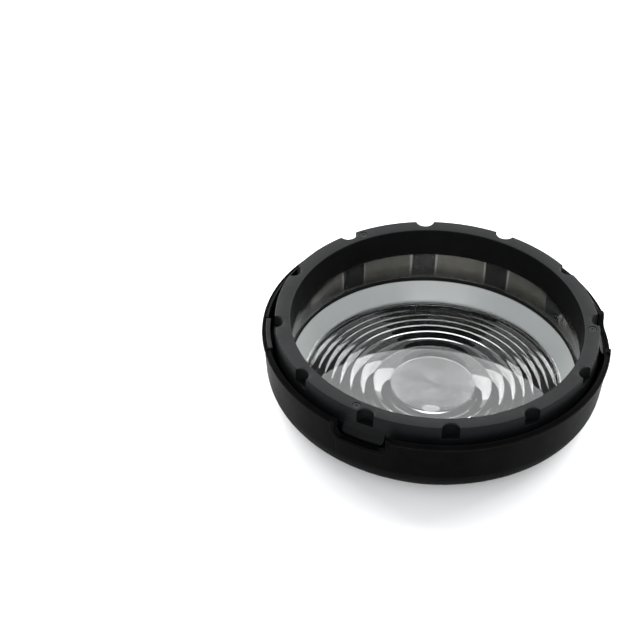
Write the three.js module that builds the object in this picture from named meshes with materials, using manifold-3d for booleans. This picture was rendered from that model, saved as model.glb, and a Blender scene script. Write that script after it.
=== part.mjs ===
// Ring-mounted Fresnel prism lens: a lens cell that drops into a holder ring and turns a few degrees to lock.
// Millimetres, +Z up along the optical axis, origin on that axis in the plane of the holder's base.
// Azimuths are in degrees, counted from +X towards +Y.
import * as THREE from "three";
import { mergeVertices } from "three/addons/utils/BufferGeometryUtils.js";
import Module from "manifold-3d";

const wasm = await Module();
wasm.setup();

// ---- driving dimensions -------------------------------------------------------------------------

const SEGMENTS = 60; // facets of every turned piece
const OVERALL_RADIUS = 50; // over the rim bead of the holder
const OVERALL_HEIGHT = 25.5; // base to the bezel's face

const RIM_TOP = 21.3; // height of the holder's rim
const RIM_BEAD = 0.8; // height of the bead around the rim
const RIM_INNER_RADIUS = 48.3;
const WALL_TOP_RADIUS = 49.7; // outer wall just under the rim bead
const WALL_FOOT = { r: 48.03, z: 6.27 }; // where the wall's line meets the underside's slope
const WALL_FOOT_FILLET = 8;
const BASE_OUTER_RADIUS = 41.2;
const BASE_BORE_RADIUS = 37.6;
const BASE_THICKNESS = 1.6;
const SHELF_RADIUS = 46.9; // bore below the shelf that carries the leaf springs
const SHELF_HEIGHT = 10.4;
const SHELF_FOOT = 8.2; // where the shelf's face meets the slope of the bowl's inside
const BOWL_TOP = { r: 46.2, z: 6.9 };
const BOWL_FOOT_RADIUS = 40.9;
const BASE_EDGE = 0.3; // break of the edge around the base
const WALL_INSIDE_OVERLAP = 0.3; // tabs and ribs are joined this deep into the wall

const WINDOW_AZIMUTHS = [0, 120, 240]; // entry windows, and the lugs that pass through them
const WINDOW_HALF_WIDTH = 7.7;
const WINDOW_SILL = 17;
const WINDOW_CORNER = 2;
const WINDOW_BEAD = 1.65; // width of the raised border around a window

const LOCK_TURN = 20; // the cell turns this far clockwise, seen from the front, to lock
const TAB_HALF_ANGLE = 7.5; // the barrel's bayonet tabs
const TAB_RADIUS = 47.9;
const TAB_BOTTOM = 11.1;
const TAB_TOP = 12.4;
const RETAINER_BOTTOM = 12.8; // the holder's inward tabs, above the barrel's once locked
const RETAINER_TOP = 14.2;
const RETAINER_START = 11; // azimuth from a window's centre, clockwise
const STOP_GAP = 0.8; // degrees between a tab at the end of its travel and the stop rib
const STOP_ANGLE = 2;

const KEY_AZIMUTH = 180;
const KEY_HALF_ANGLE = 8;
const KEY_INNER_RADIUS = 47.5;
const KEY_OUTER_RADIUS = 49;
const KEY_BOTTOM = 18.4;
const KEY_EDGE = 0.25;
const KEY_CLEARANCE = 0.25; // between the key and its pocket
const KEY_CLEARANCE_ANGLE = 0.4;
const DIMPLE = { radius: 0.9, depth: 0.35 }; // the detent's seats in the holder's wall

const CELL_RADIUS = 46.43; // outside of the bezel and of the barrel under it
const BEZEL_BOTTOM = 19;
const BEZEL_BORE_TOP = 42;
const BEZEL_BORE_FOOT = 41.3;
const SKIRT_RADIUS = 42.85;
const SKIRT_BOTTOM = 17.1;
const NOTCH_COUNT = 12;
const NOTCH_RADIUS = 2.65;
const NOTCH_CENTRE_RADIUS = 46.85;
const NOTCH_FLOOR = 21.65;

const BARREL_BORE = 43.1;
const BARREL_TOP = 18.9;
const BARREL_BOTTOM = 3.9;
const SHOULDER_HEIGHT = 4.9; // carries the rear seal and the lens
const SHOULDER_BORE = 41.9;
const RIB_RADIUS = 42.55;
const RIB_WIDTH = 6.8;
const RIB_BOTTOM = 8.6;
const RIB_TOP = 16.8;
const CHAMFER_FOOT = 38.6; // the barrel's underside is the slope radius = height + this
const SEAL_GROOVE = { radius: 45.7, bottom: 8.7, top: 9.9 };

const LUG_HALF_WIDTH = 6.3;
const LUG_BOTTOM = 17.3;
const LUG_TOP = 21.6;
const LUG_RADIUS = 48;
const LUG_INNER_RADIUS = 46.73;
const FOOT_BOTTOM = 18;
const FOOT_INNER_RADIUS = 43.5;
const LUG_CORNER = 1.6;

const SCREW_RADIUS = 44.25; // pitch radius of the bezel screws
const SCREW_OFFSET = -5; // azimuth of a screw from the centre of its lug
const SCREW_TIP = 13;
const SCREW_HEAD = { radius: 1.05, top: 25.35, height: 0.6 };
const SCREW_SHANK_RADIUS = 0.55;
const SCREW_CLEARANCE = 0.3;

const PLUNGER_AZIMUTH = 60;
const PLUNGER_HEIGHT = 15.3;
const PLUNGER = { radius: 1, tail: 45.2, nose: 48.05 };
const PLUNGER_BORE_FLOOR = 43.6;

const SLEEVE = { inner: 41.4, outer: 42.3, bottom: 8.3, top: 17 };
const FRONT_SEAL = { inner: 41.2, outer: 42.8, bottom: 7, top: 8.2 };
const REAR_SEAL = { inner: 42, outer: 42.8, bottom: 4.95, top: 5.45 };
const DUST_SEAL = { inner: 45.8, outer: 46.45, lip: 46.72, bottom: 8.9, top: 9.7 };

const LENS_EDGE_RADIUS = 42.8;
const LENS_RIM = { bottom: 5.5, top: 6.9, inner: 41.3, under: 41.9 };
const LENS_FACE = { radius: 37.4, height: 2.5 }; // the flat, polished upper face
const FIELD_RADIUS = 36.9; // of the Fresnel field on the underside
const FIELD_PLANE = 1.3; // height of the roots between the prisms
const FIELD_EDGE = { r: 37.2, z: 1.75 }; // where the cone's underside starts
const PRISM_COUNT = 9;
const CENTRE_RADIUS = 12.2; // the central disc
const PRISM_SPACING = 0.487; // the prisms' radii grow by this power of their number
const PRISM_HEIGHT = 0.75;
const PRISM_TIP = 0.06; // width of a prism's tip
const CENTRE_HEIGHT = 0.45;

// ---- shape helpers ------------------------------------------------------------------------------

const rad = THREE.MathUtils.degToRad;

// A closed solid for boolean work, from a closed geometry.
function toSolid(geometry) {
  const bare = geometry.clone();
  bare.deleteAttribute("normal");
  bare.deleteAttribute("uv");
  const merged = mergeVertices(bare, 1e-4);
  return new wasm.Manifold(
    new wasm.Mesh({
      numProp: 3,
      vertProperties: new Float32Array(merged.attributes.position.array),
      triVerts: new Uint32Array(merged.index.array),
    }),
  );
}

function toGeometry(solid) {
  const mesh = solid.getMesh();
  const geometry = new THREE.BufferGeometry();
  geometry.setAttribute("position", new THREE.BufferAttribute(mesh.vertProperties, 3));
  geometry.setIndex(new THREE.BufferAttribute(mesh.triVerts, 1));
  return geometry;
}

// A full turn of a closed outline of [radius, height] corners, listed anticlockwise.
function turned(outline, segments = SEGMENTS) {
  const points = [...outline, outline[0]].map(([r, z]) => new THREE.Vector2(r, z));
  return new THREE.LatheGeometry(points, segments).rotateX(Math.PI / 2);
}

function turnedSolid(outline, segments = SEGMENTS) {
  return toSolid(turned(outline, segments));
}

// A prism over a flat outline of [x, y] corners, between two heights.
function uprightPrism(outline, bottom, top) {
  const shape = new THREE.Shape(outline.map(([x, y]) => new THREE.Vector2(x, y)));
  const depth = top - bottom;
  return toSolid(new THREE.ExtrudeGeometry(shape, { depth, bevelEnabled: false }).translate(0, 0, bottom));
}

// The wedge of space between two azimuths, for cutting a turned piece to an arc.
function wedge(from, to, bottom = -5, top = 40) {
  const reach = 80;
  const corner = (azimuth) => [reach * Math.cos(rad(azimuth)), reach * Math.sin(rad(azimuth))];
  return uprightPrism([[0, 0], corner(from), corner(to)], bottom, top);
}

// An arc of a turned piece between two azimuths.
function arcOf(outline, from, to) {
  return turnedSolid(outline).intersect(wedge(from, to));
}

function boxOutline(innerRadius, outerRadius, bottom, top) {
  return [
    [innerRadius, bottom],
    [outerRadius, bottom],
    [outerRadius, top],
    [innerRadius, top],
  ];
}

// Turns a geometry made with x sideways, y up and z outwards to face out at an azimuth.
function facingOut(geometry, azimuth) {
  const outwards = new THREE.Vector3(Math.cos(rad(azimuth)), Math.sin(rad(azimuth)), 0);
  const up = new THREE.Vector3(0, 0, 1);
  const sideways = new THREE.Vector3().crossVectors(up, outwards);
  return geometry.applyMatrix4(new THREE.Matrix4().makeBasis(sideways, up, outwards));
}

// A U-shaped outline, open end up: the sides of a window, a lug or the border around a window.
function uShape(halfWidth, bottom, top, corner) {
  const shape = new THREE.Shape();
  shape.moveTo(-halfWidth, top);
  shape.lineTo(-halfWidth, bottom + corner);
  shape.absarc(-halfWidth + corner, bottom + corner, corner, Math.PI, 1.5 * Math.PI, false);
  shape.lineTo(halfWidth - corner, bottom);
  shape.absarc(halfWidth - corner, bottom + corner, corner, 1.5 * Math.PI, 2 * Math.PI, false);
  shape.lineTo(halfWidth, top);
  return shape;
}

function uPrism(azimuth, halfWidth, bottom, top, corner, fromRadius, toRadius) {
  const shape = uShape(halfWidth, bottom, top, corner);
  const depth = toRadius - fromRadius;
  const geometry = new THREE.ExtrudeGeometry(shape, { depth, bevelEnabled: false, curveSegments: 4 });
  return toSolid(facingOut(geometry.translate(0, 0, fromRadius), azimuth));
}

// A round pin or hole cutter standing parallel to the optical axis.
function uprightCylinder(radius, azimuth, pitchRadius, bottom, top, sides = 12) {
  const geometry = new THREE.CylinderGeometry(radius, radius, top - bottom, sides).rotateX(Math.PI / 2);
  const x = pitchRadius * Math.cos(rad(azimuth));
  const y = pitchRadius * Math.sin(rad(azimuth));
  return toSolid(geometry.translate(x, y, (top + bottom) / 2));
}

// A round hole cutter lying along a radius.
function radialCylinder(radius, azimuth, height, fromRadius, toRadius, sides = 12) {
  const geometry = new THREE.CylinderGeometry(radius, radius, toRadius - fromRadius, sides);
  geometry.rotateX(Math.PI / 2).translate(0, height, (fromRadius + toRadius) / 2);
  return toSolid(facingOut(geometry, azimuth));
}

// Points of a round between two straight lines that would meet at a corner.
function fillet(before, corner, after, radius, steps) {
  const toBefore = new THREE.Vector2(before[0] - corner[0], before[1] - corner[1]).normalize();
  const toAfter = new THREE.Vector2(after[0] - corner[0], after[1] - corner[1]).normalize();
  const halfAngle = Math.acos(toBefore.dot(toAfter)) / 2;
  const setback = radius / Math.tan(halfAngle);
  const bisector = toBefore.clone().add(toAfter).normalize();
  const centre = bisector.multiplyScalar(radius / Math.sin(halfAngle));
  const start = toBefore.clone().multiplyScalar(setback).sub(centre);
  const end = toAfter.clone().multiplyScalar(setback).sub(centre);
  let sweep = end.angle() - start.angle();
  if (sweep > Math.PI) sweep -= 2 * Math.PI;
  if (sweep < -Math.PI) sweep += 2 * Math.PI;
  const points = [];
  for (let i = 0; i <= steps; i += 1) {
    const turn = start.clone().rotateAround(new THREE.Vector2(), (sweep * i) / steps);
    points.push([corner[0] + centre.x + turn.x, corner[1] + centre.y + turn.y]);
  }
  return points;
}

// ---- materials ----------------------------------------------------------------------------------

const finishes = {
  satinBezel: { color: 0x44484b, roughness: 0.5, metalness: 0 },
  matteShell: { color: 0x141413, roughness: 0.6, metalness: 0 },
  innerBlack: { color: 0x101111, roughness: 0.7, metalness: 0 },
  lugBlack: { color: 0x1e1f20, roughness: 0.55, metalness: 0 },
  keyGrey: { color: 0x55585a, roughness: 0.5, metalness: 0 },
  clear: { color: 0xdfe6e6, roughness: 0.03, metalness: 0, transparent: true, opacity: 0.4 },
  smokedSleeve: { color: 0x8b8b80, roughness: 0.15, metalness: 0, transparent: true, opacity: 0.6 },
  rubber: { color: 0x0c0c0c, roughness: 0.85, metalness: 0 },
  steel: { color: 0x8f9296, roughness: 0.35, metalness: 1 },
  blackSteel: { color: 0x222426, roughness: 0.4, metalness: 0.8 },
};

function piece(name, shape, finish) {
  const geometry = shape instanceof THREE.BufferGeometry ? shape : toGeometry(shape);
  const mesh = new THREE.Mesh(geometry, new THREE.MeshStandardMaterial(finishes[finish]));
  mesh.name = name;
  return mesh;
}

// ---- the holder ---------------------------------------------------------------------------------

function holderOutline() {
  const beadFoot = RIM_TOP - RIM_BEAD;
  const corner = [WALL_FOOT.r, WALL_FOOT.z];
  const base = [BASE_OUTER_RADIUS, 0];
  const wallTop = [WALL_TOP_RADIUS, beadFoot - 0.3];
  return [
    [BASE_BORE_RADIUS, 0],
    [BASE_OUTER_RADIUS - BASE_EDGE, 0],
    [BASE_OUTER_RADIUS + BASE_EDGE, BASE_EDGE],
    ...fillet(base, corner, wallTop, WALL_FOOT_FILLET, 4),
    wallTop,
    [OVERALL_RADIUS, beadFoot],
    [OVERALL_RADIUS, RIM_TOP - 0.2],
    [OVERALL_RADIUS - 0.2, RIM_TOP],
    [RIM_INNER_RADIUS, RIM_TOP],
    [RIM_INNER_RADIUS, SHELF_HEIGHT],
    [SHELF_RADIUS, SHELF_HEIGHT],
    [SHELF_RADIUS, SHELF_FOOT],
    [BOWL_TOP.r, BOWL_TOP.z],
    [BOWL_FOOT_RADIUS, BASE_THICKNESS],
    [BASE_BORE_RADIUS, BASE_THICKNESS],
  ];
}

// The raised border that runs around a window and ends in the rim bead.
function windowBorder(azimuth) {
  const inner = RIM_INNER_RADIUS + 0.2;
  const halfWidth = WINDOW_HALF_WIDTH + WINDOW_BEAD;
  const sill = WINDOW_SILL - WINDOW_BEAD;
  const corner = WINDOW_CORNER + WINDOW_BEAD;
  const band = turnedSolid(boxOutline(inner, OVERALL_RADIUS, sill - 1, RIM_TOP));
  return band.intersect(uPrism(azimuth, halfWidth, sill, RIM_TOP, corner, inner - 1, OVERALL_RADIUS + 1));
}

function windowCut(azimuth) {
  const top = RIM_TOP + 1;
  const fromRadius = RIM_INNER_RADIUS - 2;
  return uPrism(azimuth, WINDOW_HALF_WIDTH, WINDOW_SILL, top, WINDOW_CORNER, fromRadius, OVERALL_RADIUS + 1);
}

// An inward tab that holds the cell down once locked, and the rib that ends the turn.
function retainer(azimuth) {
  const wallInside = RIM_INNER_RADIUS + WALL_INSIDE_OVERLAP;
  const stopStart = TAB_HALF_ANGLE + LOCK_TURN + STOP_GAP;
  const stopEnd = stopStart + STOP_ANGLE;
  const tab = boxOutline(SHELF_RADIUS, wallInside, RETAINER_BOTTOM, RETAINER_TOP);
  const rib = boxOutline(SHELF_RADIUS, wallInside, SHELF_HEIGHT - WALL_INSIDE_OVERLAP, RETAINER_TOP);
  const tabArc = arcOf(tab, azimuth - stopEnd, azimuth - RETAINER_START);
  return tabArc.add(arcOf(rib, azimuth - stopEnd, azimuth - stopStart));
}

function holderRing() {
  let ring = turnedSolid(holderOutline());
  for (const azimuth of WINDOW_AZIMUTHS) ring = ring.add(windowBorder(azimuth));
  for (const azimuth of WINDOW_AZIMUTHS) ring = ring.subtract(windowCut(azimuth)).add(retainer(azimuth));
  const pocketWall = KEY_OUTER_RADIUS + KEY_CLEARANCE;
  const pocket = boxOutline(RIM_INNER_RADIUS - 1, pocketWall, KEY_BOTTOM - KEY_CLEARANCE, RIM_TOP + 1);
  const pocketHalfAngle = KEY_HALF_ANGLE + KEY_CLEARANCE_ANGLE;
  ring = ring.subtract(arcOf(pocket, KEY_AZIMUTH - pocketHalfAngle, KEY_AZIMUTH + pocketHalfAngle));
  for (const azimuth of [PLUNGER_AZIMUTH, PLUNGER_AZIMUTH - LOCK_TURN]) {
    const reach = [RIM_INNER_RADIUS - 1, RIM_INNER_RADIUS + DIMPLE.depth];
    ring = ring.subtract(radialCylinder(DIMPLE.radius, azimuth, PLUNGER_HEIGHT, ...reach));
  }
  return ring;
}

function indexKey() {
  const outline = [
    [KEY_INNER_RADIUS, KEY_BOTTOM],
    [KEY_OUTER_RADIUS, KEY_BOTTOM],
    [KEY_OUTER_RADIUS, RIM_TOP],
    [KEY_INNER_RADIUS + KEY_EDGE, RIM_TOP],
    [KEY_INNER_RADIUS, RIM_TOP - KEY_EDGE],
  ];
  return arcOf(outline, KEY_AZIMUTH - KEY_HALF_ANGLE, KEY_AZIMUTH + KEY_HALF_ANGLE);
}

// A bowed strip on the shelf, under a retainer: it takes up the play of a locked tab.
function leafSpring(azimuth) {
  const innerRadius = 47.15;
  const outerRadius = 48;
  const thickness = 0.22;
  const bow = 0.18;
  const from = azimuth - TAB_HALF_ANGLE - LOCK_TURN;
  const to = azimuth - RETAINER_START;
  const steps = 8;
  const top = [];
  const bottom = [];
  for (let i = 0; i <= steps; i += 1) {
    const along = i / steps;
    const lift = SHELF_HEIGHT + 0.06 + bow * Math.sin(Math.PI * along);
    const sideways = THREE.MathUtils.lerp(from, to, along);
    bottom.push([sideways, lift]);
    top.push([sideways, lift + thickness]);
  }
  const positions = [];
  const corner = (radius, [turn, z]) => [radius * Math.cos(rad(turn)), radius * Math.sin(rad(turn)), z];
  const quad = (a, b, c, d) => positions.push(...a, ...b, ...c, ...a, ...c, ...d);
  const section = (i) => [
    corner(innerRadius, bottom[i]),
    corner(outerRadius, bottom[i]),
    corner(outerRadius, top[i]),
    corner(innerRadius, top[i]),
  ];
  for (let i = 0; i < steps; i += 1) {
    const near = section(i);
    const far = section(i + 1);
    for (let side = 0; side < 4; side += 1) {
      const next = (side + 1) % 4;
      quad(near[next], near[side], far[side], far[next]);
    }
  }
  quad(...section(0));
  quad(...section(steps).reverse());
  const geometry = new THREE.BufferGeometry();
  geometry.setAttribute("position", new THREE.Float32BufferAttribute(positions, 3));
  return mergeVertices(geometry);
}

// ---- the lens cell ------------------------------------------------------------------------------

function screwHole(azimuth, bottom, top) {
  const radius = SCREW_SHANK_RADIUS + SCREW_CLEARANCE;
  return uprightCylinder(radius, azimuth + SCREW_OFFSET, SCREW_RADIUS, bottom, top);
}

function frontBezel() {
  let ring = turnedSolid([
    [BEZEL_BORE_FOOT, SKIRT_BOTTOM],
    [SKIRT_RADIUS, SKIRT_BOTTOM],
    [SKIRT_RADIUS, BEZEL_BOTTOM],
    [CELL_RADIUS, BEZEL_BOTTOM],
    [CELL_RADIUS, OVERALL_HEIGHT - 0.25],
    [CELL_RADIUS - 0.25, OVERALL_HEIGHT],
    [BEZEL_BORE_TOP + 0.2, OVERALL_HEIGHT],
    [BEZEL_BORE_TOP, OVERALL_HEIGHT - 0.2],
  ]);
  for (let i = 0; i < NOTCH_COUNT; i += 1) {
    const azimuth = (360 / NOTCH_COUNT) * i;
    const top = OVERALL_HEIGHT + 1;
    ring = ring.subtract(uprightCylinder(NOTCH_RADIUS, azimuth, NOTCH_CENTRE_RADIUS, NOTCH_FLOOR, top, 20));
  }
  for (const azimuth of WINDOW_AZIMUTHS) {
    const recessFloor = SCREW_HEAD.top - SCREW_HEAD.height - SCREW_CLEARANCE;
    const recessRadius = SCREW_HEAD.radius + SCREW_CLEARANCE / 2;
    const recess = [recessRadius, azimuth + SCREW_OFFSET, SCREW_RADIUS, recessFloor, OVERALL_HEIGHT + 1];
    ring = ring.subtract(uprightCylinder(...recess));
    ring = ring.subtract(screwHole(azimuth, BEZEL_BOTTOM - 1, OVERALL_HEIGHT));
  }
  return ring;
}

// A lug that shows in a window, with a foot clamped between the barrel and the bezel.
function guideLug(azimuth) {
  const outline = [
    [LUG_INNER_RADIUS, LUG_BOTTOM],
    [LUG_RADIUS, LUG_BOTTOM],
    [LUG_RADIUS, LUG_BOTTOM + 0.7],
    [LUG_RADIUS - 0.55, LUG_BOTTOM + 1.9],
    [LUG_INNER_RADIUS + 0.3, LUG_TOP - 0.6],
    [LUG_INNER_RADIUS + 0.2, LUG_TOP],
    [LUG_INNER_RADIUS, LUG_TOP],
  ];
  const reach = [LUG_INNER_RADIUS - 3, LUG_RADIUS + 2];
  const sides = uPrism(azimuth, LUG_HALF_WIDTH, LUG_BOTTOM, LUG_TOP, LUG_CORNER, ...reach);
  const face = turnedSolid(outline).intersect(sides);
  const foot = arcOf(
    boxOutline(FOOT_INNER_RADIUS, LUG_INNER_RADIUS + 0.2, FOOT_BOTTOM, BARREL_TOP),
    azimuth - TAB_HALF_ANGLE,
    azimuth + TAB_HALF_ANGLE - 1,
  );
  return face.add(foot).subtract(screwHole(azimuth, FOOT_BOTTOM - 1, BARREL_TOP + 1));
}

function lensBarrel() {
  let barrel = turnedSolid([
    [SHOULDER_BORE, BARREL_BOTTOM],
    [BARREL_BOTTOM + CHAMFER_FOOT, BARREL_BOTTOM],
    [CELL_RADIUS, CELL_RADIUS - CHAMFER_FOOT],
    [CELL_RADIUS, SEAL_GROOVE.bottom],
    [SEAL_GROOVE.radius, SEAL_GROOVE.bottom],
    [SEAL_GROOVE.radius, SEAL_GROOVE.top],
    [CELL_RADIUS, SEAL_GROOVE.top],
    [CELL_RADIUS, BARREL_TOP],
    [BARREL_BORE, BARREL_TOP],
    [BARREL_BORE, SHOULDER_HEIGHT],
    [SHOULDER_BORE, SHOULDER_HEIGHT],
  ]);
  const ribBand = turnedSolid(boxOutline(RIB_RADIUS, BARREL_BORE + 0.4, RIB_BOTTOM, RIB_TOP));
  const ribHalfAngle = THREE.MathUtils.radToDeg(RIB_WIDTH / 2 / RIB_RADIUS);
  for (let i = 0; i < NOTCH_COUNT; i += 1) {
    const azimuth = (360 / NOTCH_COUNT) * i;
    barrel = barrel.add(ribBand.intersect(wedge(azimuth - ribHalfAngle, azimuth + ribHalfAngle)));
  }
  const tabBand = turnedSolid(boxOutline(CELL_RADIUS - 0.4, TAB_RADIUS, TAB_BOTTOM, TAB_TOP));
  const footPocket = turnedSolid(boxOutline(FOOT_INNER_RADIUS - 0.25, 50, FOOT_BOTTOM - 0.25, BARREL_TOP + 1));
  for (const azimuth of WINDOW_AZIMUTHS) {
    const pocketWedge = wedge(azimuth - TAB_HALF_ANGLE - 0.5, azimuth + TAB_HALF_ANGLE - 0.5);
    barrel = barrel.add(tabBand.intersect(wedge(azimuth - TAB_HALF_ANGLE, azimuth + TAB_HALF_ANGLE)));
    barrel = barrel.subtract(footPocket.intersect(pocketWedge));
    barrel = barrel.subtract(screwHole(azimuth, SCREW_TIP - 0.5, BARREL_TOP + 1));
  }
  const bore = [PLUNGER.radius + 0.15, PLUNGER_AZIMUTH, PLUNGER_HEIGHT, PLUNGER_BORE_FLOOR, CELL_RADIUS + 1];
  return barrel.subtract(radialCylinder(...bore));
}

// Radius of the outer edge of prism n, counted from the central disc as 1.
function prismRadius(n) {
  return CENTRE_RADIUS * n ** PRISM_SPACING;
}

// The prisms hang from the underside. Each is deepest at its inner edge, where it ends in an upright riser.
function fresnelLens() {
  const domeSteps = 3;
  const outline = [];
  for (let i = 0; i <= domeSteps; i += 1) {
    const r = CENTRE_RADIUS * (i / domeSteps);
    const depth = CENTRE_HEIGHT * (1 - (r / CENTRE_RADIUS) ** 2);
    outline.push([r, FIELD_PLANE - depth]);
  }
  for (let n = 1; n <= PRISM_COUNT; n += 1) {
    const end = n < PRISM_COUNT ? prismRadius(n + 1) : FIELD_RADIUS;
    outline.push([prismRadius(n) + PRISM_TIP, FIELD_PLANE - PRISM_HEIGHT]);
    outline.push([end, FIELD_PLANE]);
  }
  outline.push(
    [FIELD_EDGE.r, FIELD_EDGE.z],
    [LENS_RIM.under - 0.3, LENS_RIM.bottom - 0.3],
    [LENS_RIM.under, LENS_RIM.bottom],
    [LENS_EDGE_RADIUS, LENS_RIM.bottom],
    [LENS_EDGE_RADIUS, LENS_RIM.top],
    [LENS_RIM.inner, LENS_RIM.top],
    [LENS_FACE.radius, LENS_FACE.height],
    [0, LENS_FACE.height],
  );
  const points = outline.map(([r, z]) => new THREE.Vector2(r, z));
  return new THREE.LatheGeometry(points, SEGMENTS).rotateX(Math.PI / 2);
}

function plainRing({ inner, outer, bottom, top }) {
  return turned(boxOutline(inner, outer, bottom, top));
}

// A ring in the barrel's groove with a pointed lip that wipes the holder's wall.
function dustSeal() {
  const { inner, outer, lip, bottom, top } = DUST_SEAL;
  return turned([
    [inner, bottom],
    [outer, bottom],
    [lip, (bottom + top) / 2],
    [outer, top],
    [inner, top],
  ]);
}

// A black machine screw whose head lies just under the bezel's face, with a cross slot.
function bezelScrew(azimuth) {
  const { radius, top, height } = SCREW_HEAD;
  const place = [azimuth + SCREW_OFFSET, SCREW_RADIUS];
  const head = uprightCylinder(radius, ...place, top - height, top);
  const shank = uprightCylinder(SCREW_SHANK_RADIUS, ...place, SCREW_TIP, top - height / 2, 8);
  const centre = [SCREW_RADIUS * Math.cos(rad(place[0])), SCREW_RADIUS * Math.sin(rad(place[0]))];
  const slot = new THREE.BoxGeometry(1.3, 0.28, 0.6).translate(centre[0], centre[1], top);
  const crossSlot = new THREE.BoxGeometry(0.28, 1.3, 0.6).translate(centre[0], centre[1], top);
  return head.add(shank).subtract(toSolid(slot)).subtract(toSolid(crossSlot));
}

function detentPlunger() {
  const { radius, tail, nose } = PLUNGER;
  const points = [new THREE.Vector2(0, tail)];
  const steps = 4;
  points.push(new THREE.Vector2(radius, tail));
  for (let i = 0; i <= steps; i += 1) {
    const turn = (Math.PI / 2) * (i / steps);
    const r = i === steps ? 0 : radius * Math.cos(turn);
    points.push(new THREE.Vector2(r, nose - radius + radius * Math.sin(turn)));
  }
  const geometry = new THREE.LatheGeometry(points, 12).rotateX(Math.PI / 2);
  return facingOut(geometry.translate(0, PLUNGER_HEIGHT, 0), PLUNGER_AZIMUTH);
}

function detentSpring() {
  const coilRadius = 0.7;
  const turns = 3;
  const from = PLUNGER_BORE_FLOOR + 0.2;
  const to = PLUNGER.tail - 0.2;
  const helix = new THREE.Curve();
  helix.getPoint = (t, target = new THREE.Vector3()) => {
    const turn = 2 * Math.PI * turns * t;
    const along = THREE.MathUtils.lerp(from, to, t);
    return target.set(coilRadius * Math.cos(turn), PLUNGER_HEIGHT + coilRadius * Math.sin(turn), along);
  };
  const wire = new THREE.Shape().absarc(0, 0, 0.12, 0, 2 * Math.PI);
  const sweep = { extrudePath: helix, steps: turns * 8, curveSegments: 2, bevelEnabled: false };
  const geometry = new THREE.ExtrudeGeometry(wire, sweep);
  return facingOut(geometry, PLUNGER_AZIMUTH);
}

// ---- assembly -----------------------------------------------------------------------------------

const holder = new THREE.Group();
holder.add(piece("holder_ring", holderRing(), "matteShell"));
holder.add(piece("index_key", indexKey(), "keyGrey"));

const cell = new THREE.Group();
cell.add(piece("front_bezel", frontBezel(), "satinBezel"));
cell.add(piece("lens_barrel", lensBarrel(), "innerBlack"));
cell.add(piece("fresnel_lens", fresnelLens(), "clear"));
cell.add(piece("inner_sleeve", plainRing(SLEEVE), "smokedSleeve"));
cell.add(piece("front_lens_seal", plainRing(FRONT_SEAL), "rubber"));
cell.add(piece("rear_lens_seal", plainRing(REAR_SEAL), "rubber"));
cell.add(piece("dust_seal", dustSeal(), "rubber"));
cell.add(piece("detent_plunger", detentPlunger(), "steel"));
cell.add(piece("detent_spring", detentSpring(), "steel"));

WINDOW_AZIMUTHS.forEach((azimuth, i) => {
  holder.add(piece(`leaf_spring_${i + 1}`, leafSpring(azimuth), "steel"));
  cell.add(piece(`guide_lug_${i + 1}`, guideLug(azimuth), "lugBlack"));
  cell.add(piece(`bezel_screw_${i + 1}`, bezelScrew(azimuth), "blackSteel"));
});

const group = new THREE.Group();
group.add(holder, cell);

export default group;
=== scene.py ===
"""Ring-mounted Fresnel prism lens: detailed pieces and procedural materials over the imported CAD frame."""
import math

import bmesh
import bpy
import numpy as np
from mathutils import Matrix, Vector


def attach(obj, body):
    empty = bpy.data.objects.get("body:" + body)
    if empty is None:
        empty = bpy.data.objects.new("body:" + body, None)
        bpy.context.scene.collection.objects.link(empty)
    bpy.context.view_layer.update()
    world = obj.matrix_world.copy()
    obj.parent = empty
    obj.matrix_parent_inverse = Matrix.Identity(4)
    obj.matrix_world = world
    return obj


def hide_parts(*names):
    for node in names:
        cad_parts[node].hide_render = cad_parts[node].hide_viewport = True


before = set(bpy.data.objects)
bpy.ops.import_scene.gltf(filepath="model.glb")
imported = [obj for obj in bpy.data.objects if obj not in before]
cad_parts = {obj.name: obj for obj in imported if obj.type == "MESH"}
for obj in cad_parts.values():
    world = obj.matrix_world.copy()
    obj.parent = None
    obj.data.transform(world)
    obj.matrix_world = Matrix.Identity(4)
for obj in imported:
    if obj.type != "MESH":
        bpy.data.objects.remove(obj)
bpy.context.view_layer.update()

MM = 0.001

# ---- dimensions in millimetres, the same as the CAD's ------------------------------------------

HEIGHT = 25.5
RIM_TOP = 21.3
RIM_INNER, RIM_OUTER = 48.3, 50.0
WALL_TOP_RADIUS = 49.7
WINDOWS = (0, 120, 240)
WINDOW_HALF, WINDOW_SILL, WINDOW_CORNER, WINDOW_BEAD = 7.7, 17.0, 2.0, 1.65
WINDOW_WALL_RADIUS = 49.2
KEY_AZIMUTH, KEY_HALF_ANGLE = 180, 8
CELL = 46.43
NOTCH_COUNT, NOTCH_RADIUS, NOTCH_CENTRE, NOTCH_FLOOR = 12, 2.65, 46.85, 21.65
BORE_TOP, BORE_FOOT = 42.0, 41.3
TAB_HALF_ANGLE = 7.5
LUG_HALF, LUG_BOTTOM, LUG_TOP, LUG_CORNER, LUG_BACK = 6.3, 17.3, 21.6, 1.6, 46.4
SCREW_RADIUS, SCREW_OFFSET = 44.25, -5
LENS_FACE_RADIUS, LENS_FACE = 37.4, 2.5
FIELD_RADIUS, FIELD_PLANE, CENTRE_RADIUS, CENTRE_HEIGHT = 36.9, 1.3, 12.2, 0.45
PRISM_COUNT, PRISM_SPACING, PRISM_HEIGHT = 9, 0.487, 0.75


# ---- mesh building -----------------------------------------------------------------------------


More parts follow.
